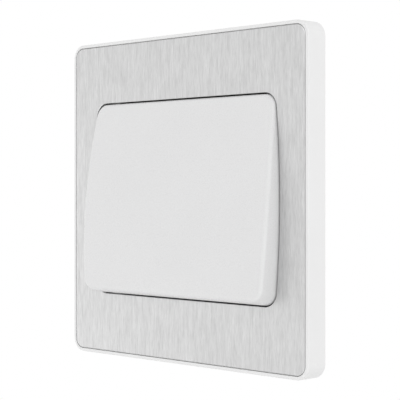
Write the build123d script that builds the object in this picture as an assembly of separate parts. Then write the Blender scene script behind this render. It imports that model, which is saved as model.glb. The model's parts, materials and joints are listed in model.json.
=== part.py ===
from build123d import *

import os
from math import cos, radians, sin, sqrt

# A one-gang rocker light switch with a clip-on front plate, in millimetres.
#
# X runs to the right as seen from the room, Y runs into the wall and Z runs up. The wall's surface is
# the plane Y = 0, and the origin is the middle of the two fixing screws on that plane. The front plate
# is a white moulded frame that carries a brushed steel trim. Behind it an inner plate is screwed to the
# wall box. The inner plate carries the switch mechanism, and the wide rocker tilts on it.
#
# The switch is exported with the top of the rocker pressed in. The rocker and the moving contact are
# drawn in their middle positions and then turned about their own axes.

# Front plate
plate_size = 95.0
plate_depth = 7.0
plate_corner = 4.2
plate_edge_round = 0.45
plate_side_wall = 2.0
plate_face_wall = 1.5
peg_inset_x = 4.0
peg_inset_z = 6.0
peg_radius = 1.9
peg_clearance = 0.05
peg_lead_in = 0.4
peg_end_gap = 0.4
stiffener_width = 1.0
stiffener_height = 1.2
stiffener_gap = 0.4
stiffener_share = 0.8
prise_notch_width = 9.0
prise_notch_depth = 1.2

# Brushed steel trim, let into the front plate
rim_width = 1.2
trim_corner = 3.0
trim_thickness = 0.6
trim_clearance = 0.22
trim_bevel = 0.12

# Window that the rocker stands in: straight at top and bottom, bowed at the sides
window_width = 75.3
window_height = 57.8
window_bow_radius = 275.0
window_corner = 4.4
window_setback = 0.9
collar_wall = 1.3
collar_depth = 0.4

# Rocker cap
rocker_clearance = 0.42
rocker_proud = 4.4
rocker_crown_radius = 290.0
rocker_edge_round = 1.1
rocker_face_wall = 2.0
rocker_side_wall = 1.8
rocker_tilt = 6.0
pivot_depth = 2.5
skirt_depth = 3.5
skirt_relief = 1.1
skirt_relief_half = 12.5
cap_rib = 1.2

# Rocker carrier, the inner rocker that the cap clips onto
carrier_width = 16.8
carrier_height = 30.0
carrier_front = 3.2
carrier_corner = 1.2
stop_clearance = 0.15
pivot_radius = 2.0
pivot_clearance = 0.05
pivot_length = 2.5
sleeve_radius = 3.1
sleeve_length = 10.5
sleeve_bore = 2.0
sleeve_bore_front = 1.5
leg_width = 2.8
leg_thickness = 1.2
leg_offset_x = 4.0
leg_offset_z = 11.0
leg_barb = 0.4
leg_barb_length = 0.8
leg_clearance = 0.2

# Plunger and its spring
plunger_clearance = 0.05
plunger_tip_radius = 1.5
plunger_tip_gap = 0.1
plunger_back = 6.0
plunger_shoulder = 12.5
spring_radius = 1.5
spring_wire_radius = 0.2
spring_turns = 6
spring_end_gap = 0.05

# Inner plate
inner_setback = 2.0
inner_corner = 4.0
inner_thickness = 2.8
inner_rim_width = 1.2
inner_rim_height = 1.3
skirt_slot_clearance = 0.9
strap_margin = 2.0
strap_half_width = 33.5
lug_half_height = 11.0
pan_depth = 2.6
pan_wall = 1.5
socket_wall = 1.7
socket_height = 1.6
socket_slit = 0.8
bearing_gap = 0.5
bearing_width = 2.2
bearing_half_height = 3.4
bearing_wall = 0.4
bearing_mouth = 3.2
mechanism_window_width = 9.2
mechanism_window_height = 9.6
screw_slot_length = 6.4
earth_pocket_wall = 1.2
earth_pocket_depth = 4.4
earth_margin = 5.5
earth_z = -11.5

# Fixing screws, M3.5 at the standard spacing of a one-gang box
fixing_spacing = 60.3
fixing_radius = 1.75
fixing_neck_radius = 1.5
fixing_hole_radius = 2.0
fixing_length = 20.0
fixing_head_radius = 3.2
fixing_head_height = 2.0
fixing_tip_bevel = 0.4

# Mechanism housing and rear cover
housing_width = 37.0
housing_height = 32.0
housing_corner = 1.5
housing_inner_corner = 0.3
housing_wall = 1.5
housing_front_wall = 2.0
housing_depth = 18.2
housing_recess = 0.5
housing_fit = 0.1
partition_gap = 1.8
partition_wall = 1.2
strip_clearance = 0.4
column_inset = 2.5
column_radius = 2.4
cover_thickness = 2.0
cover_lip = 0.5
cover_lip_wall = 1.2
cover_fit = 0.1
housing_screw_radius = 1.2
housing_screw_fit = 0.08
housing_screw_head_radius = 2.1
housing_screw_head_height = 0.9
housing_screw_bite = 1.9

# Terminals and fixed contacts
barrel_width = 7.0
barrel_height = 7.2
barrel_depth = 7.4
barrel_side_gap = 0.2
barrel_offset_z = 7.0
wire_bore = 1.9
wire_window_height = 6.0
wire_window_depth = 5.4
wire_bore_depth = 3.0
wire_play = 0.1
strip_thickness = 0.8
strip_width = 5.0
strip_leg_width = 2.0
strip_back_clearance = 0.6
terminal_screw_radius = 1.75
terminal_screw_head_radius = 2.1
terminal_screw_access = 2.5
terminal_screw_sunk = 0.4
terminal_thread_fit = 0.04
earth_barrel = 7.0
earth_depth = 7.4
barrel_bevel = 0.4
screw_slot_width = 0.8
screw_slot_depth = 0.8

# Moving contact, which rocks on the common terminal's fulcrum
fulcrum_height = 2.8
fulcrum_radius = 0.42
fulcrum_clearance = 0.08
fulcrum_width = 5.6
contact_tilt = 9.0
contact_length = 24.0
contact_width = 5.2
contact_corner = 2.4
contact_thickness = 0.8
contact_seat = 0.1
contact_ear_gap = 0.2
contact_ear_reach = 1.6
contact_ear_half_height = 1.5
tip_offset = 10.0
tip_radius = 1.6
tip_thickness = 0.5
fixed_tip_offset = 9.5
fixed_tip_dome = 4.0
fixed_tip_tail = 0.8
fixed_tip_play = 0.08

# Sizes and places worked out from the sizes above
trim_size = plate_size - 2 * rim_width
hollow_size = plate_size - 2 * plate_side_wall
inner_size = hollow_size - 2 * inner_setback
strap_half_height = housing_height / 2 + strap_margin
face_y = -plate_depth
trim_back_y = face_y + trim_thickness
plate_inside_y = trim_back_y + plate_face_wall
collar_back_y = plate_inside_y + collar_depth
pivot_y = face_y + pivot_depth
inner_front_y = -inner_thickness
sleeve_end_y = pivot_y + sleeve_length
housing_back_y = housing_depth
cover_back_y = housing_back_y + cover_thickness
barrel_back_y = housing_back_y - strip_clearance / 2
barrel_front_y = barrel_back_y - barrel_depth
barrel_outer_x = housing_width / 2 - housing_wall - barrel_side_gap
barrel_x = barrel_outer_x - barrel_width / 2
partition_outer = barrel_outer_x - barrel_width - partition_gap
partition_inner = partition_outer - partition_wall
column_x = housing_width / 2 - column_inset
column_z = housing_height / 2 - column_inset
earth_x = -housing_width / 2 - earth_margin
strip_front_y = housing_back_y - strip_back_clearance - strip_thickness
fulcrum_y = strip_front_y - fulcrum_height
contact_back_y = fulcrum_y - contact_seat
contact_front_y = contact_back_y - contact_thickness
plunger_tip_y = contact_front_y - plunger_tip_gap - plunger_tip_radius
wire_y = barrel_front_y + wire_bore_depth
earth_wire_y = wire_bore_depth
window_half_width = window_width / 2
window_half_height = window_height / 2
rocker_half_width = window_half_width - rocker_clearance
rocker_half_height = window_half_height - rocker_clearance
rocker_corner = window_corner - rocker_clearance
end_radius = sqrt(rocker_half_height**2 + pivot_depth**2)


def block(x0, x1, y0, y1, z0, z1):
    """A box between two corners."""
    return Pos((x0 + x1) / 2, (y0 + y1) / 2, (z0 + z1) / 2) * Box(x1 - x0, y1 - y0, z1 - z0)


def post(radius, x, z, y0, y1):
    """A round bar along Y."""
    return Pos(x, (y0 + y1) / 2, z) * Rot(90, 0, 0) * Cylinder(radius, y1 - y0)


def axle(radius, x0, x1, y, z):
    """A round bar along X."""
    return Pos((x0 + x1) / 2, y, z) * Rot(0, 90, 0) * Cylinder(radius, x1 - x0)


def slab(outline, y0, y1):
    """An outline drawn in X and Z, made solid from y0 to y1."""
    return extrude(Plane.XZ.offset(-y1) * outline, y1 - y0)


def mirrored(shapes, plane):
    """The shapes and their mirror images."""
    return [copy for shape in shapes for copy in (shape, mirror(shape, plane))]


def turned_about_x(shape, y, angle):
    """The shape turned about the line through (y, z = 0) that runs along X."""
    return Pos(0, y, 0) * Rot(angle, 0, 0) * Pos(0, -y, 0) * shape


def bowed_outline(half_width, half_height, corner):
    """A rectangle with bowed sides and round corners, in X and Z."""
    side_drop = window_bow_radius - sqrt(window_bow_radius**2 - half_height**2)
    corner_x = half_width - side_drop
    top = Line((-corner_x, half_height), (corner_x, half_height))
    right = ThreePointArc((corner_x, half_height), (half_width, 0), (corner_x, -half_height))
    bottom = Line((corner_x, -half_height), (-corner_x, -half_height))
    left = ThreePointArc((-corner_x, -half_height), (-half_width, 0), (-corner_x, half_height))
    face = make_face([top, right, bottom, left])
    return fillet(face.vertices(), corner)


def window_outline(grow):
    """The window's outline, made larger all round."""
    return bowed_outline(window_half_width + grow, window_half_height + grow, window_corner + grow)


def rounded_square(size, corner):
    """A square with round corners, in X and Z."""
    return RectangleRounded(size, size, corner)


def front_frame():
    """The white moulded frame: a shallow tray with a recess for the trim and a collar round the window."""
    body = slab(rounded_square(plate_size, plate_corner), face_y, 0)
    body = fillet(body.faces().sort_by(Axis.Y)[0].edges(), plate_edge_round)
    body -= slab(rounded_square(hollow_size, plate_corner - plate_side_wall), plate_inside_y, 0)
    body += slab(window_outline(window_setback + collar_wall), plate_inside_y, collar_back_y)
    recess = trim_size + 2 * trim_clearance
    body -= slab(rounded_square(recess, trim_corner + trim_clearance), face_y, trim_back_y)
    body -= slab(window_outline(window_setback), trim_back_y, collar_back_y)
    rib_x = window_half_width + window_setback + collar_wall + stiffener_gap
    rib_z = stiffener_share * window_half_height
    rib_y = plate_inside_y + stiffener_height
    rib = block(rib_x, rib_x + stiffener_width, plate_inside_y, rib_y, -rib_z, rib_z)
    for shape in (rib, Rot(0, 90, 0) * rib, Rot(0, 180, 0) * rib, Rot(0, 270, 0) * rib):
        body += shape
    for x, z in peg_places():
        peg = post(peg_radius, x, z, plate_inside_y, -peg_end_gap)
        body += chamfer(peg.edges().sort_by(Axis.Y)[-1], peg_lead_in)
    notch_half = prise_notch_width / 2
    body -= block(
        -notch_half, notch_half, -prise_notch_depth, 0, -plate_size / 2, plate_side_wall - plate_size / 2
    )
    return body


def peg_places():
    """The four pegs that push the front plate onto the inner plate."""
    half_x = inner_size / 2 - peg_inset_x
    half_z = inner_size / 2 - peg_inset_z
    return [(x * half_x, z * half_z) for x in (-1, 1) for z in (-1, 1)]


def steel_trim():
    """The flat steel trim, with a fine bevel on its front edges."""
    body = slab(rounded_square(trim_size, trim_corner), face_y, trim_back_y)
    body -= slab(window_outline(0), face_y, trim_back_y)
    return chamfer(body.faces().sort_by(Axis.Y)[0].edges(), trim_bevel)


def cap_form(inset, face_inset, corner):
    """The rocker cap's outer or inner form: a drum about the pivot, cut by the crown and the skirt."""
    half = rocker_half_width - inset
    drum_outline = bowed_outline(half, end_radius - inset, corner)
    upper_half = drum_outline & Pos(0, end_radius) * Rectangle(2 * rocker_half_width, 2 * end_radius)
    drum = Pos(0, pivot_y, 0) * revolve(Plane.XZ * upper_half, Axis.X)
    crown_radius = rocker_crown_radius - face_inset
    crown_y = face_y - rocker_proud + face_inset
    crown = axle(crown_radius, -2 * half, 2 * half, crown_y + crown_radius, 0)
    room = 2 * rocker_half_width
    return drum & block(-room, room, crown_y, face_y + skirt_depth, -room, room) & crown


def rocker_cap():
    """The wide rocker: a crowned shell with bowed sides, and ends that are arcs about the pivot."""
    outer = cap_form(0, 0, rocker_corner)
    front = outer.faces().sort_by(Axis.Y)[0]
    body = fillet(front.edges(), rocker_edge_round)
    body -= cap_form(rocker_side_wall, rocker_face_wall, rocker_corner - rocker_side_wall)
    relief_half = skirt_relief_half
    skirt_y = face_y + skirt_depth
    wide = 2 * rocker_half_width
    body -= block(-wide, wide, skirt_y - skirt_relief, skirt_y, -relief_half, relief_half)
    seat_y = pivot_y - carrier_front
    inside_y = face_y - rocker_proud + rocker_face_wall
    rib_x = carrier_width / 2 - cap_rib
    rib_z = carrier_height / 2
    root_y = inside_y - rocker_face_wall / 2
    ribs = mirrored([block(rib_x - cap_rib, rib_x, root_y, seat_y, -rib_z, rib_z)], Plane.YZ)
    long_x = rocker_half_width - rocker_side_wall
    cross_low, cross_high = (leg_offset_z - cap_rib) / 2, (leg_offset_z + cap_rib) / 2
    ribs += mirrored([block(-long_x, long_x, root_y, seat_y, cross_low, cross_high)], Plane.XY)
    for rib in ribs:
        body += rib
    for leg in cap_legs(0):
        body += leg
    return body


def cap_legs(grow):
    """The four clip legs behind the cap, or with growth the slots for them in the carrier."""
    half_x = leg_width / 2 + grow
    half_z = leg_thickness / 2 + grow
    front_y = face_y - rocker_proud + rocker_face_wall / 2
    end_y = pivot_y + 2 * grow
    x, z = leg_offset_x, leg_offset_z
    leg = block(x - half_x, x + half_x, front_y, end_y, z - half_z, z + half_z)
    barb_y = end_y - leg_barb_length - 2 * grow
    leg += block(x - half_x, x + half_x, barb_y, end_y, z, z + half_z + leg_barb)
    return mirrored(mirrored([leg], Plane.YZ), Plane.XY)


def carrier_rear_y(z):
    """The carrier's rear at height z, where it meets its stop at the end of the travel."""
    reach = inner_front_y - stop_clearance - pivot_y
    tilt = radians(rocker_tilt)
    return pivot_y + (reach - abs(z) * sin(tilt)) / cos(tilt)


def rocker_carrier():
    """The inner rocker: a plate with pivots, stops and the sleeve for the plunger."""
    half_x, half_z = carrier_width / 2, carrier_height / 2
    front_y = pivot_y - carrier_front
    side = Polyline(
        (front_y, -half_z),
        (front_y, half_z),
        (carrier_rear_y(half_z), half_z),
        (carrier_rear_y(0), 0),
        (carrier_rear_y(half_z), -half_z),
        close=True,
    )
    body = extrude(Plane.YZ * make_face(side), half_x, both=True)
    corners = [e for e in body.edges().filter_by(Axis.Y)]
    body = fillet(corners, carrier_corner)
    body += axle(pivot_radius, -half_x - pivot_length, half_x + pivot_length, pivot_y, 0)
    body += post(sleeve_radius, 0, 0, pivot_y, sleeve_end_y)
    body -= post(sleeve_bore, 0, 0, pivot_y - sleeve_bore_front, sleeve_end_y)
    for slot in cap_legs(leg_clearance):
        body -= slot
    return body


def plunger():
    """The round-nosed plunger that rides in the carrier's sleeve."""
    radius = sleeve_bore - plunger_clearance
    body = post(radius, 0, 0, pivot_y + plunger_back, pivot_y + plunger_shoulder)
    body += post(plunger_tip_radius, 0, 0, pivot_y + plunger_shoulder, plunger_tip_y)
    body += Pos(0, plunger_tip_y, 0) * Sphere(plunger_tip_radius)
    return body


def plunger_spring():
    """The coil spring between the sleeve's blind end and the plunger."""
    start_y = pivot_y - sleeve_bore_front + spring_wire_radius + spring_end_gap
    end_y = pivot_y + plunger_back - spring_wire_radius - spring_end_gap
    length = end_y - start_y
    path = Helix(pitch=length / spring_turns, height=length, radius=spring_radius)
    section = Plane(origin=path @ 0, z_dir=path % 0) * Circle(spring_wire_radius)
    coil = sweep(section, path=path)
    return Pos(0, start_y, 0) * Rot(-90, 0, 0) * coil


def inner_plate():
    """The inner plate: flange, rocker well, fixing lugs, bearings and sockets for the pegs."""
    half = inner_size / 2
    body = slab(rounded_square(inner_size, inner_corner), inner_front_y - inner_rim_height, 0)
    inside = rounded_square(inner_size - 2 * inner_rim_width, inner_corner - inner_rim_width)
    body -= slab(inside, inner_front_y - inner_rim_height, inner_front_y)
    well = slab(bowed_well(), inner_front_y, 0)
    strap_x, strap_z = strap_half_width, strap_half_height
    strap = block(-strap_x, strap_x, inner_front_y, 0, -strap_z, strap_z)
    lugs = block(-half, half, inner_front_y, 0, -lug_half_height, lug_half_height)
    body -= well - strap - lugs
    for pan in mirrored([rocker_pan()], Plane.XY):
        body += pan
    for bearing in mirrored([pivot_bearing()], Plane.YZ):
        body += bearing
    groove_x = carrier_width / 2 + bearing_gap + bearing_width
    body -= axle(pivot_radius + pivot_clearance, -groove_x, groove_x, pivot_y, 0)
    reach = peg_radius + socket_wall
    socket_y = inner_front_y - socket_height
    slit = socket_slit / 2
    for x, z in peg_places():
        body += post(reach, x, z, socket_y, inner_front_y)
        body -= post(peg_radius + peg_clearance, x, z, socket_y, 0)
        body -= block(x - reach, x + reach, socket_y, inner_front_y, z - slit, z + slit)
    body -= block(
        -mechanism_window_width / 2, mechanism_window_width / 2, inner_front_y, 0,
        -mechanism_window_height / 2, mechanism_window_height / 2,
    )
    body -= post(fixing_hole_radius, fixing_spacing / 2, 0, inner_front_y, 0)
    slot = SlotOverall(screw_slot_length, 2 * fixing_hole_radius)
    body -= slab(Pos(-fixing_spacing / 2, 0) * slot, inner_front_y, 0)
    body -= slab(housing_outline(-housing_fit), -housing_recess, 0)
    bite_y = -housing_screw_bite - housing_screw_fit
    for x, z in column_places():
        body -= post(housing_screw_radius + housing_screw_fit, x, z, bite_y, 0)
    return body + earth_pocket()


def bowed_well():
    """The outline that clears the rocker's skirt in the inner plate."""
    grow = rocker_clearance - skirt_slot_clearance
    return bowed_outline(window_half_width - grow, window_half_height - grow, window_corner - grow)


def rocker_pan():
    """The closed pan behind the upper end of the rocker, sunk into the wall box."""
    top = window_half_height - rocker_clearance + skirt_slot_clearance
    low = strap_half_height - pan_wall
    floor_y = pan_depth - pan_wall
    half = strap_half_width
    pan = block(-half, half, inner_front_y, pan_depth, low, top + pan_wall)
    pan -= block(-half, half, inner_front_y, 0, strap_half_height, top)
    inside_x = strap_half_width - pan_wall
    pan -= block(-inside_x, inside_x, inner_front_y, floor_y, strap_half_height, top)
    return pan


def pivot_bearing():
    """One of the two snap-in bearings for the rocker carrier's pivots."""
    x0 = carrier_width / 2 + bearing_gap
    hole = pivot_radius + pivot_clearance
    front_y = pivot_y - hole - bearing_wall
    half = bearing_half_height
    body = block(x0, x0 + bearing_width, front_y, inner_front_y, -half, half)
    body = fillet(body.edges().filter_by(Axis.X).sort_by(Axis.Y)[:2], bearing_wall * 2)
    body -= axle(hole, x0, x0 + bearing_width, pivot_y, 0)
    mouth = bearing_mouth / 2
    return body - block(x0, x0 + bearing_width, front_y, pivot_y, -mouth, mouth)


def earth_pocket():
    """The pocket behind the inner plate that holds the earth terminal."""
    inner = earth_barrel / 2 + cover_fit
    outer = inner + earth_pocket_wall
    body = block(earth_x - outer, earth_x + outer, 0, earth_pocket_depth, earth_z - outer, earth_z + outer)
    body -= block(earth_x - inner, earth_x + inner, 0, earth_pocket_depth, earth_z - inner, earth_z + inner)
    wire_low_y = earth_wire_y - wire_bore - wire_play
    return body - block(
        earth_x - outer, earth_x - inner, wire_low_y, earth_pocket_depth, earth_z - inner, earth_z + inner
    )


def fixing_screws():
    """The two screws that hold the inner plate to the wall box."""
    screws = []
    for x in (-fixing_spacing / 2, fixing_spacing / 2):
        head_y = inner_front_y - fixing_head_height
        head = post(fixing_head_radius, x, 0, head_y, inner_front_y)
        head = fillet(head.edges().sort_by(Axis.Y)[0], fixing_head_height / 2)
        screw = head + post(fixing_neck_radius, x, 0, inner_front_y, 0)
        shank = post(fixing_radius, x, 0, 0, fixing_length - inner_thickness)
        screw += chamfer(shank.edges().sort_by(Axis.Y)[-1], fixing_tip_bevel)
        screw -= block(
            x - fixing_head_radius, x + fixing_head_radius, head_y, head_y + screw_slot_depth,
            -screw_slot_width / 2, screw_slot_width / 2,
        )
        screws.append(screw)
    return Compound(screws)


def column_places():
    """The four screws that hold the housing together and to the inner plate."""
    return [(x * column_x, z * column_z) for x in (-1, 1) for z in (-1, 1)]


def housing_outline(inset):
    """The mechanism housing's outline, in X and Z."""
    corner = max(housing_corner - inset, housing_inner_corner)
    return RectangleRounded(housing_width - 2 * inset, housing_height - 2 * inset, corner)


def mechanism_housing():
    """The moulded housing: a central contact chamber with a terminal chamber on each side."""
    body = slab(housing_outline(0), -housing_recess, housing_back_y)
    cavity = slab(housing_outline(housing_wall), housing_front_wall, housing_back_y)
    body -= cavity
    rib_back_y = strip_front_y - strip_clearance
    inner, outer = partition_inner, partition_outer
    side_x = housing_width / 2 - housing_wall
    top_z = housing_height / 2 - housing_wall
    ribs = mirrored([block(inner, outer, housing_front_wall, rib_back_y, -top_z, top_z)], Plane.YZ)
    for x_side, z_centre in terminal_places():
        low = z_centre - barrel_height / 2 - cover_fit
        high = z_centre + barrel_height / 2 + cover_fit
        x0, x1 = sorted((x_side * outer, x_side * side_x))
        ribs.append(block(x0, x1, housing_front_wall, rib_back_y, high, high + partition_wall))
        ribs.append(block(x0, x1, housing_front_wall, rib_back_y, low - partition_wall, low))
        x0, x1 = x_side * barrel_x - partition_wall / 2, x_side * barrel_x + partition_wall / 2
        ribs.append(block(x0, x1, housing_front_wall, barrel_front_y - cover_fit, low, high))
    for x, z in column_places():
        ribs.append(post(column_radius, x, z, housing_front_wall, housing_back_y) & cavity)
    for rib in ribs:
        body += rib
    for x, z in column_places():
        body -= post(housing_screw_radius + housing_screw_fit, x, z, -housing_recess, housing_back_y)
    for x_side, z_centre in terminal_places():
        x0, x1 = sorted((x_side * side_x, x_side * housing_width / 2))
        half_y, half_z = wire_window_depth / 2, wire_window_height / 2
        body -= block(x0, x1, wire_y - half_y, wire_y + half_y, z_centre - half_z, z_centre + half_z)
    body -= block(
        -mechanism_window_width / 2, mechanism_window_width / 2, -housing_recess, housing_front_wall,
        -mechanism_window_height / 2, mechanism_window_height / 2,
    )
    return body


def terminal_places():
    """Side and height of the common, upper and lower terminals."""
    return [(-1, barrel_offset_z), (1, barrel_offset_z), (1, -barrel_offset_z)]


def rear_cover():
    """The cover that closes the housing, with openings for the terminal screws."""
    body = slab(housing_outline(0), housing_back_y, cover_back_y)
    body = fillet(body.faces().sort_by(Axis.Y)[-1].edges(), housing_wall / 2)
    lip_y = housing_back_y - cover_lip
    lip_inset = housing_wall + cover_fit
    lip_outline = housing_outline(lip_inset) - housing_outline(lip_inset + cover_lip_wall)
    lip = slab(lip_outline, lip_y, housing_back_y)
    for x, z in column_places():
        lip -= post(column_radius + cover_fit, x, z, lip_y, housing_back_y)
    for x_side, z_centre in terminal_places():
        reach = barrel_height / 2 + cover_fit
        x0, x1 = sorted((0, x_side * barrel_outer_x + x_side * cover_fit))
        lip -= block(x0, x1, lip_y, housing_back_y, z_centre - reach, z_centre + reach)
    for piece in lip.solids():
        body += piece
    for x, z in column_places():
        body -= post(housing_screw_radius + housing_screw_fit, x, z, lip_y, cover_back_y)
    for x_side, z_centre in terminal_places():
        body -= post(terminal_screw_access, x_side * barrel_x, z_centre, housing_back_y, cover_back_y)
    return body


def slotted_screw(radius, head_radius, x, z, tip_y, under_head_y, head_y):
    """A slotted screw that enters from behind, along Y."""
    screw = post(radius, x, z, tip_y, under_head_y) + post(head_radius, x, z, under_head_y, head_y)
    return screw - block(
        x - head_radius, x + head_radius, head_y - screw_slot_depth, head_y, z - screw_slot_width / 2,
        z + screw_slot_width / 2,
    )


def housing_screws():
    """The four screws through the rear cover and the housing into the inner plate."""
    return Compound(
        [
            slotted_screw(
                housing_screw_radius, housing_screw_head_radius, x, z, -housing_screw_bite, cover_back_y,
                cover_back_y + housing_screw_head_height,
            )
            for x, z in column_places()
        ]
    )


def barrel(x, z, screw_depth):
    """A terminal's brass block, with its wire bore along X and its screw's bore along Y."""
    half_x, half_z = barrel_width / 2, barrel_height / 2
    body = block(x - half_x, x + half_x, barrel_front_y, barrel_back_y, z - half_z, z + half_z)
    body = chamfer(body.edges().filter_by(Axis.Y), barrel_bevel)
    body -= axle(wire_bore, x - half_x, x + half_x, wire_y, z)
    return body - post(terminal_screw_radius + terminal_thread_fit, x, z, screw_depth, barrel_back_y)


def strip(x0, x1, z0, z1):
    """A flat brass conductor."""
    return block(x0, x1, strip_front_y, strip_front_y + strip_thickness, z0, z1)


def common_terminal():
    """The common terminal with the fulcrum that the moving contact rocks on."""
    body = barrel(-barrel_x, barrel_offset_z, wire_y)
    half = strip_width / 2
    inner_x = barrel_width / 2 - barrel_x
    root_x = inner_x - barrel_width / 4
    body += strip(root_x, inner_x + strip_leg_width, -half, barrel_offset_z + half)
    body += strip(root_x, half, -half, half)
    web_half = fulcrum_width / 2
    body += block(-web_half, web_half, fulcrum_y, strip_front_y, -fulcrum_radius, fulcrum_radius)
    return body + axle(fulcrum_radius, -web_half, web_half, fulcrum_y, 0)


def switched_terminal():
    """The upper switched terminal. The lower one is its mirror image."""
    body = barrel(barrel_x, barrel_offset_z, wire_y)
    half = strip_width / 2
    inner_x = barrel_x - barrel_width / 2 + barrel_width / 4
    top = fixed_tip_offset + half
    body += strip(-half, inner_x, fixed_tip_offset - half, top)
    return body - post(fixed_tip_tail, 0, fixed_tip_offset, strip_front_y, strip_front_y + strip_thickness)


def terminal_screws():
    """The three clamp screws of the terminals."""
    screws = []
    for x_side, z_centre in terminal_places():
        head_y = cover_back_y - terminal_screw_sunk
        screws.append(
            slotted_screw(
                terminal_screw_radius, terminal_screw_head_radius, x_side * barrel_x, z_centre,
                wire_y + wire_bore + wire_play, barrel_back_y + strip_clearance, head_y,
            )
        )
    return Compound(screws)


def earth_terminal():
    """The earth terminal's brass block."""
    half = earth_barrel / 2
    back_y = earth_depth
    body = block(earth_x - half, earth_x + half, 0, back_y, earth_z - half, earth_z + half)
    body = chamfer(body.edges().filter_by(Axis.Y), barrel_bevel)
    body -= axle(wire_bore, earth_x - half, earth_x + half, earth_wire_y, earth_z)
    return body - post(terminal_screw_radius + terminal_thread_fit, earth_x, earth_z, earth_wire_y, back_y)


def earth_screw():
    """The earth terminal's clamp screw."""
    tip_y = earth_wire_y + wire_bore + wire_play
    under_head_y = earth_depth + strip_clearance
    head_y = under_head_y + fixing_head_height
    radius, head_radius = terminal_screw_radius, terminal_screw_head_radius
    return slotted_screw(radius, head_radius, earth_x, earth_z, tip_y, under_head_y, head_y)


def fixed_contact():
    """The upper domed silver contact, riveted to its terminal."""
    tilt = radians(contact_tilt)
    tip_back = tip_thickness - contact_seat
    reach = tip_back + fixed_tip_dome + fixed_tip_play
    centre_y = fulcrum_y + (reach + fixed_tip_offset * sin(tilt)) / cos(tilt)
    dome = Pos(0, centre_y, fixed_tip_offset) * Sphere(fixed_tip_dome)
    head = dome & post(tip_radius, 0, fixed_tip_offset, centre_y - 2 * fixed_tip_dome, strip_front_y)
    tail_y = strip_front_y + strip_thickness
    return head + post(fixed_tip_tail, 0, fixed_tip_offset, strip_front_y, tail_y)


def moving_contact():
    """The rocking contact strip, in its middle position, with a groove that sits on the fulcrum."""
    front_y, back_y = contact_front_y, contact_back_y
    body = slab(RectangleRounded(contact_width, contact_length, contact_corner), front_y, back_y)
    ear_x = fulcrum_width / 2 + contact_ear_gap
    ear_z = contact_ear_half_height
    ears = block(-ear_x - contact_thickness, ear_x + contact_thickness, front_y, back_y, -ear_z, ear_z)
    ear_back_y = fulcrum_y + contact_ear_reach
    ear = block(ear_x, ear_x + contact_thickness, front_y, ear_back_y, -ear_z, ear_z)
    for ear in mirrored([ear], Plane.YZ):
        ears += ear
    groove = fulcrum_radius + fulcrum_clearance
    return body + ears - axle(groove, -ear_x, ear_x, fulcrum_y, 0)


def contact_tip(side):
    """One of the moving contact's two silver tips, in the middle position."""
    return post(tip_radius, 0, side * tip_offset, contact_back_y, contact_back_y + tip_thickness)


def rocker_at_rest(shape):
    """The rocker's pieces with the top pressed in."""
    return turned_about_x(shape, pivot_y, -rocker_tilt)


def contact_at_rest(shape):
    """The moving contact's pieces with the lower tip closed."""
    return turned_about_x(shape, fulcrum_y, contact_tilt)


parts = {
    "front_frame": front_frame(),
    "steel_trim": steel_trim(),
    "rocker_cap": rocker_at_rest(rocker_cap()),
    "rocker_carrier": rocker_at_rest(rocker_carrier()),
    "plunger": rocker_at_rest(plunger()),
    "plunger_spring": rocker_at_rest(plunger_spring()),
    "inner_plate": inner_plate(),
    "fixing_screws": fixing_screws(),
    "mechanism_housing": mechanism_housing(),
    "rear_cover": rear_cover(),
    "housing_screws": housing_screws(),
    "common_terminal": common_terminal(),
    "upper_terminal": switched_terminal(),
    "lower_terminal": mirror(switched_terminal(), Plane.XY),
    "terminal_screws": terminal_screws(),
    "earth_terminal": earth_terminal(),
    "earth_screw": earth_screw(),
    "upper_fixed_contact": fixed_contact(),
    "lower_fixed_contact": mirror(fixed_contact(), Plane.XY),
    "moving_contact": contact_at_rest(moving_contact()),
    "upper_contact_tip": contact_at_rest(contact_tip(1)),
    "lower_contact_tip": contact_at_rest(contact_tip(-1)),
}

os.makedirs("parts", exist_ok=True)
for name, shape in parts.items():
    export_step(shape, f"parts/{name}.step")
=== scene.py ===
"""Dresses the rocker light switch, in metres, in the frame of its CAD model.

X runs to the right as seen from the room, Y into the wall and Z up. The switch is seen level and from its
right, in soft light on white, with no wall behind it.
"""

import json
from math import atan2, ceil, cos, pi, radians, sin

import bmesh
import bpy
from mathutils import Matrix, Vector


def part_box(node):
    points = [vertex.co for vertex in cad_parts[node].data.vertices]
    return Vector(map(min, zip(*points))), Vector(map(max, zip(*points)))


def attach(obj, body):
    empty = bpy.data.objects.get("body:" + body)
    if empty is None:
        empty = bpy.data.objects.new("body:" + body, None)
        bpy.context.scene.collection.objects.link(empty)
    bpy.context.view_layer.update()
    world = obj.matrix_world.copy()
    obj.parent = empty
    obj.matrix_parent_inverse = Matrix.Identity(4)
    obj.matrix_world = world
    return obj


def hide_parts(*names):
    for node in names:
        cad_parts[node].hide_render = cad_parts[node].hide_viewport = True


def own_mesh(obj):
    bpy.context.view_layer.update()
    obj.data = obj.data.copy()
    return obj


MM = 0.001

# The camera: where it stands round the switch, its lens for a picture 400 pixels wide, and how near it sees
VIEW_AZIMUTH = radians(44.5)
VIEW_DISTANCE = 362.4 * MM
VIEW_RIGHT = 5.63 * MM
VIEW_RAISE = 3.10 * MM
FACE_Y = -7.0 * MM
IMAGE_WIDTH = 400
SENSOR = 36.0
LENS = 1263 / IMAGE_WIDTH * SENSOR
SHIFT_Y = -11.8 / IMAGE_WIDTH
NEAR_CLIP = 10 * MM

# The floor lies well below the view
FLOOR_Z = -0.7
FLOOR_SIZE = 3.0
FLOOR_WHITE = (0.85, 0.85, 0.85, 1)

# The studio's light, by the direction it comes from
STUDIO_LEVEL = 0.64
STUDIO_FRONT = 0.17
STUDIO_SIDES = 1.25

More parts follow.
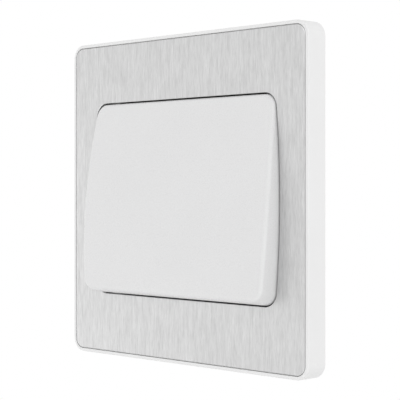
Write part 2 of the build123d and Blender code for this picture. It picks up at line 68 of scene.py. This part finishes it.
# Soft lamps: name, place, size and power in watts. The key is above and to the right, the side lamp is picked
# up by the steel, and the low one lights the rocker's lower edge.
LAMPS = (
    ("key", (0.9, -1.1, 1.3), 1.2, 4.7),
    ("side", (-1.4, -0.6, -0.2), 0.6, 0.75),
    ("low", (0.0, -0.45, -0.6), 0.6, 1.0),
)

# The fixing screws' thread, whose flats at crest and root are a share of its pitch
THREAD_PITCH = 0.6 * MM
THREAD_DEPTH = 0.37 * MM
THREAD_FLAT = 0.12
THREAD_STEPS = 6
THREAD_START = 0.2 * MM
THREAD_LEAD_IN = 0.5 * MM

# Finishes, as linear colours
WHITE_FRAME = (0.81, 0.81, 0.81)
WHITE_ROCKER = (0.755, 0.755, 0.757)
WHITE_INNER = (0.74, 0.74, 0.73)
GRAPHITE = (0.10, 0.10, 0.105)
HOUSING_GREY = (0.62, 0.63, 0.64)
NYLON = (0.72, 0.70, 0.64)
STEEL = (0.65, 0.65, 0.65)
SPRING_STEEL = (0.55, 0.55, 0.56)
ZINC = (0.50, 0.51, 0.51)
BRASS = (0.72, 0.52, 0.24)
SILVER = (0.80, 0.80, 0.78)

# The steel's scratches: how often they repeat in a metre along X, Y and Z, and what they do to the surface
BRUSH_BROAD = (1500, 1500, 160)
BRUSH_FINE = (4200, 4200, 420)
BRUSH_FINE_SHARE = 0.6
BRUSH_TINT = (0.84, 1.13)
BRUSH_ROUGHNESS = (0.45, 0.33)
BRUSH_DEPTH = 0.02 * MM
BRUSH_STRENGTH = 0.35

# The grain of mouldings, with a coarser one on the housing, and of plain metal
MOULD_TINT = (0.992, 1.008)
MOULD_GRAIN = 0.004 * MM
MOULD_SCALE = 5000
HOUSING_GRAIN = 0.03 * MM
HOUSING_SCALE = 1800
METAL_TINT = (0.9, 1.08)
METAL_GRAIN = 0.01 * MM


def node(tree, kind, **values):
    """A shader node, with its inputs or settings given by name."""
    made = tree.nodes.new(kind)
    for name, value in values.items():
        if name in made.inputs:
            made.inputs[name].default_value = value
        else:
            setattr(made, name, value)
    return made


def scaled_coordinates(tree, scale):
    """Object coordinates, scaled along each axis."""
    coords = node(tree, "ShaderNodeTexCoord")
    mapping = node(tree, "ShaderNodeMapping")
    mapping.inputs["Scale"].default_value = scale
    tree.links.new(coords.outputs["Object"], mapping.inputs["Vector"])
    return mapping.outputs["Vector"]


def noise(tree, scale, detail=2.0, roughness=0.5):
    """A noise pattern whose features repeat scale times in a metre along each axis."""
    made = node(tree, "ShaderNodeTexNoise", Scale=1.0, Detail=detail, Roughness=roughness)
    tree.links.new(scaled_coordinates(tree, scale), made.inputs["Vector"])
    return made.outputs["Fac"]


def ranged(tree, value, low, high, from_low=0.3, from_high=0.7):
    """The value stretched to run from low to high."""
    made = node(tree, "ShaderNodeMapRange")
    made.inputs["From Min"].default_value = from_low
    made.inputs["From Max"].default_value = from_high
    made.inputs["To Min"].default_value = low
    made.inputs["To Max"].default_value = high
    tree.links.new(value, made.inputs["Value"])
    return made.outputs["Result"]


def tinted(tree, value, colour, low, high):
    """The colour, made darker or lighter by the value."""
    ramp = node(tree, "ShaderNodeMix", data_type="RGBA")
    ramp.inputs["A"].default_value = (*[c * low for c in colour], 1)
    ramp.inputs["B"].default_value = (*[min(c * high, 1) for c in colour], 1)
    tree.links.new(ranged(tree, value, 0, 1), ramp.inputs["Factor"])
    return ramp.outputs["Result"]


def bumped(tree, shader, value, distance, strength=1.0):
    """The shader's surface raised by the value."""
    bump = node(tree, "ShaderNodeBump", Strength=strength, Distance=distance)
    tree.links.new(value, bump.inputs["Height"])
    tree.links.new(bump.outputs["Normal"], shader.inputs["Normal"])


def material(name):
    """A new material, with its tree and its main shader."""
    made = bpy.data.materials.new(name)
    made.use_nodes = True
    return made, made.node_tree, made.node_tree.nodes["Principled BSDF"]


def moulded_plastic(name, colour, roughness, grain=MOULD_GRAIN, grain_scale=MOULD_SCALE):
    """Moulded plastic: an even colour with a trace of mottle and a fine spark-eroded grain."""
    made, tree, shader = material(name)
    mottle = noise(tree, (60, 60, 60), detail=3)
    tree.links.new(tinted(tree, mottle, colour, *MOULD_TINT), shader.inputs["Base Color"])
    fine = noise(tree, (grain_scale,) * 3, detail=2)
    tree.links.new(ranged(tree, fine, roughness - 0.03, roughness + 0.03), shader.inputs["Roughness"])
    bumped(tree, shader, fine, grain, 0.25)
    return made


def brushed_steel(name, colour):
    """Brushed steel: short upright scratches of uneven depth, broad and fine."""
    made, tree, shader = material(name)
    shader.inputs["Metallic"].default_value = 1.0
    broad = noise(tree, BRUSH_BROAD, detail=2)
    fine = noise(tree, BRUSH_FINE, detail=3, roughness=0.65)
    mixed = node(tree, "ShaderNodeMix", data_type="FLOAT", Factor=BRUSH_FINE_SHARE)
    tree.links.new(broad, mixed.inputs["A"])
    tree.links.new(fine, mixed.inputs["B"])
    brush = mixed.outputs["Result"]
    tree.links.new(tinted(tree, brush, colour, *BRUSH_TINT), shader.inputs["Base Color"])
    tree.links.new(ranged(tree, brush, *BRUSH_ROUGHNESS), shader.inputs["Roughness"])
    bumped(tree, shader, brush, BRUSH_DEPTH, BRUSH_STRENGTH)
    return made


def metal(name, colour, roughness, scale=(500, 500, 500)):
    """Plain metal with a faint drawn or plated grain."""
    made, tree, shader = material(name)
    shader.inputs["Metallic"].default_value = 1.0
    grain = noise(tree, scale, detail=3)
    tree.links.new(tinted(tree, grain, colour, *METAL_TINT), shader.inputs["Base Color"])
    tree.links.new(ranged(tree, grain, roughness - 0.06, roughness + 0.08), shader.inputs["Roughness"])
    bumped(tree, shader, grain, METAL_GRAIN, 0.2)
    return made


def finishes():
    """Each material slot of the record, with its finish."""
    return {
        "white_plastic": moulded_plastic("moulded_white", WHITE_FRAME, roughness=0.32),
        "white_gloss_plastic": moulded_plastic("moulded_white_rocker", WHITE_ROCKER, roughness=0.28),
        "brushed_steel": brushed_steel("brushed_steel_sheet", STEEL),
        "inner_plastic": moulded_plastic("moulded_inner", WHITE_INNER, roughness=0.5),
        "support_plastic": moulded_plastic("moulded_graphite", GRAPHITE, roughness=0.5),
        "housing_plastic": moulded_plastic(
            "moulded_housing", HOUSING_GREY, roughness=0.55, grain=HOUSING_GRAIN, grain_scale=HOUSING_SCALE
        ),
        "plunger_plastic": moulded_plastic("nylon", NYLON, roughness=0.4),
        "spring_steel": metal("spring_wire", SPRING_STEEL, roughness=0.3),
        "plated_screw": metal("zinc_plate", ZINC, roughness=0.26, scale=(900, 900, 900)),
        "brass": metal("drawn_brass", BRASS, roughness=0.34, scale=(300, 900, 900)),
        "silver_contact": metal("silver_alloy", SILVER, roughness=0.3),
    }


def paint(obj, finish):
    """Puts one finish on all of an object's faces."""
    obj.data.materials.clear()
    obj.data.materials.append(finish)


def named(rows, name):
    """The record's row of that name."""
    return next(row for row in rows if row["name"] == name)


def thread_depth(turns):
    """How deep the thread is cut at a place along the helix, as a share of its full depth."""
    from_crest = abs(turns % 1 - 0.5) * 2
    return min(max((from_crest - THREAD_FLAT) / (1 - 2 * THREAD_FLAT), 0.0), 1.0)


def draw_thread(mesh, rim, x, radius, tip):
    """Draws a threaded shank along Y out of a rim of vertices round the line at x, as far as the tip."""
    rim = sorted(rim, key=lambda vert: atan2(vert.co.z, vert.co.x - x))
    angles = [atan2(vert.co.z, vert.co.x - x) for vert in rim]
    length = tip - THREAD_START
    steps = ceil(length / THREAD_PITCH * THREAD_STEPS)
    row = rim
    for step in range(1, steps + 1):
        y = THREAD_START + length * step / steps
        run_in = min((y - THREAD_START) / THREAD_PITCH, 1.0) * THREAD_DEPTH
        most = radius - max(THREAD_LEAD_IN - (tip - y), 0.0)
        next_row = []
        for angle in angles:
            out = min(radius - run_in * thread_depth(y / THREAD_PITCH - angle / (2 * pi)), most)
            next_row.append(mesh.verts.new((x + out * cos(angle), y, out * sin(angle))))
        for here in range(len(row)):
            before = here - 1
            mesh.faces.new((row[before], row[here], next_row[here], next_row[before]))
        row = next_row
    mesh.faces.new(row)


def threaded_fixing_screws(finish):
    """The two fixing screws, with the thread that their plain shanks stand for."""
    bolts = named(frame["record"]["mounts"], "fixing_screws")
    spacing = bolts["dims"]["spacing_x_mm"] * MM
    radius = bolts["dims"]["stud_r_mm"] * MM
    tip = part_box("fixing_screws")[1][1]
    mesh = bmesh.new()
    mesh.from_mesh(frame["nodes"]["fixing_screws"].data)
    bmesh.ops.remove_doubles(mesh, verts=mesh.verts[:], dist=MM / 1000)
    everything = mesh.verts[:] + mesh.edges[:] + mesh.faces[:]
    start = (0, THREAD_START, 0)
    bmesh.ops.bisect_plane(mesh, geom=everything, plane_co=start, plane_no=(0, 1, 0), clear_outer=True)
    open_verts = {vert for edge in mesh.edges if edge.is_boundary for vert in edge.verts}
    for side in (-1, 1):
        rim = [vert for vert in open_verts if vert.co.x * side > 0]
        draw_thread(mesh, rim, side * spacing / 2, radius, tip)
    bmesh.ops.recalc_face_normals(mesh, faces=mesh.faces[:])
    made = bpy.data.meshes.new("threaded_fixing_screws")
    mesh.to_mesh(made)
    mesh.free()
    piece = bpy.data.objects.new("threaded_fixing_screws", made)
    bpy.context.scene.collection.objects.link(piece)
    paint(piece, finish)
    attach(piece, "base")
    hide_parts("fixing_screws")


def closing_spring(finish):
    """The plunger's coil spring, as a copy of its own that rides with the rocker."""
    piece = bpy.data.objects.new("closing_spring", frame["nodes"]["plunger_spring"].data.copy())
    bpy.context.scene.collection.objects.link(piece)
    paint(piece, finish)
    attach(piece, "rocker")
    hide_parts("plunger_spring")
    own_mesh(piece)


def set_camera():
    """The camera, level and to the switch's right."""
    data = bpy.data.cameras.new("camera")
    data.sensor_width = SENSOR
    data.lens = LENS
    data.shift_y = SHIFT_Y
    data.clip_start = NEAR_CLIP
    camera = bpy.data.objects.new("camera", data)
    bpy.context.scene.collection.objects.link(camera)
    ahead = Vector((-sin(VIEW_AZIMUTH), cos(VIEW_AZIMUTH), 0))
    right = Vector((cos(VIEW_AZIMUTH), sin(VIEW_AZIMUTH), 0))
    target = Vector((0, FACE_Y, 0)) + right * VIEW_RIGHT + Vector((0, 0, VIEW_RAISE))
    camera.matrix_world = Matrix.Translation(target - ahead * VIEW_DISTANCE) @ Matrix(
        (right, Vector((0, 0, 1)), -ahead)
    ).transposed().to_4x4()
    bpy.context.scene.camera = camera


def camera_white(tree, shader, out):
    """Shows white to the camera, in reflections and through clear pieces, and the shader to other light."""
    path = node(tree, "ShaderNodeLightPath")
    straight = node(tree, "ShaderNodeMath", operation="MAXIMUM")
    tree.links.new(path.outputs["Is Camera Ray"], straight.inputs[0])
    tree.links.new(path.outputs["Is Transmission Ray"], straight.inputs[1])
    seen = node(tree, "ShaderNodeMath", operation="MAXIMUM")
    tree.links.new(straight.outputs[0], seen.inputs[0])
    tree.links.new(path.outputs["Is Glossy Ray"], seen.inputs[1])
    kind = "ShaderNodeEmission" if out.bl_idname == "ShaderNodeOutputMaterial" else "ShaderNodeBackground"
    white = node(tree, kind)
    white.inputs["Color"].default_value = (1, 1, 1, 1)
    white.inputs["Strength"].default_value = 1.0
    mix = node(tree, "ShaderNodeMixShader")
    tree.links.new(seen.outputs[0], mix.inputs[0])
    tree.links.new(shader, mix.inputs[1])
    tree.links.new(white.outputs[0], mix.inputs[2])
    tree.links.new(mix.outputs[0], out.inputs["Surface"])


def scaled_sum(tree, value, scale, other):
    """The value times the scale, plus another value or a number."""
    made = node(tree, "ShaderNodeMath", operation="MULTIPLY_ADD")
    made.inputs[1].default_value = scale
    tree.links.new(value, made.inputs[0])
    if isinstance(other, float):
        made.inputs[2].default_value = other
    else:
        tree.links.new(other, made.inputs[2])
    return made.outputs[0]


def product(tree, one, other):
    """One value times another."""
    made = node(tree, "ShaderNodeMath", operation="MULTIPLY")
    tree.links.new(one, made.inputs[0])
    tree.links.new(other, made.inputs[1])
    return made.outputs[0]


def set_world():
    """A studio of white cloth, brightest at the two sides and brighter in front than behind."""
    world = bpy.data.worlds.new("studio")
    world.use_nodes = True
    bpy.context.scene.world = world
    tree = world.node_tree
    tree.nodes.clear()
    out = node(tree, "ShaderNodeOutputWorld")
    coords = node(tree, "ShaderNodeTexCoord")
    parts = node(tree, "ShaderNodeSeparateXYZ")
    tree.links.new(coords.outputs["Generated"], parts.inputs[0])
    sideways = product(tree, parts.outputs["X"], parts.outputs["X"])
    front = scaled_sum(tree, parts.outputs["Y"], -STUDIO_FRONT, STUDIO_LEVEL)
    strength = scaled_sum(tree, sideways, STUDIO_SIDES, front)
    light = node(tree, "ShaderNodeBackground")
    tree.links.new(strength, light.inputs["Strength"])
    camera_white(tree, light.outputs[0], out)


def set_floor():
    """A plain pale floor below the view."""
    mesh = bpy.data.meshes.new("floor")
    half = FLOOR_SIZE / 2
    corners = [(-half, -half), (half, -half), (half, half), (-half, half)]
    mesh.from_pydata([(x, y, FLOOR_Z) for x, y in corners], [], [(0, 1, 2, 3)])
    floor = bpy.data.objects.new("floor", mesh)
    bpy.context.scene.collection.objects.link(floor)
    made = bpy.data.materials.new("floor_white")
    made.use_nodes = True
    tree = made.node_tree
    tree.nodes.clear()
    out = node(tree, "ShaderNodeOutputMaterial")
    cloth = node(tree, "ShaderNodeBsdfDiffuse", Color=FLOOR_WHITE)
    camera_white(tree, cloth.outputs[0], out)
    mesh.materials.append(made)


def area_light(name, place, size, power):
    """A soft lamp that points at the switch."""
    data = bpy.data.lights.new(name, "AREA")
    data.shape = "SQUARE"
    data.size = size
    data.energy = power
    lamp = bpy.data.objects.new(name, data)
    lamp.location = place
    lamp.rotation_euler = (-Vector(place)).to_track_quat("-Z", "Y").to_euler()
    bpy.context.scene.collection.objects.link(lamp)


def set_lights():
    """One large soft lamp and two weak ones."""
    for lamp in LAMPS:
        area_light(*lamp)


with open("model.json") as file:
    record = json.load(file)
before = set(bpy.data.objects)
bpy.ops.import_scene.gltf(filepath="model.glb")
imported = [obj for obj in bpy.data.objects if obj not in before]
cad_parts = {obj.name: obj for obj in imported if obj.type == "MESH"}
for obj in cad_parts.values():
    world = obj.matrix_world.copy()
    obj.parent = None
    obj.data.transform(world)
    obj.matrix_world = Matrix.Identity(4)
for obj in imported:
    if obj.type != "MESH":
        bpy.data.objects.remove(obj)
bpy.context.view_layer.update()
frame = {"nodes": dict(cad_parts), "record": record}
bpy.context.scene.view_settings.view_transform = "Standard"

finish_of = finishes()
for part in frame["record"]["subparts"]:
    paint(frame["nodes"][part["node"]], finish_of[part["material_slot"]])
threaded_fixing_screws(finish_of["plated_screw"])
closing_spring(finish_of["spring_steel"])

set_camera()
set_world()
set_floor()
set_lights()
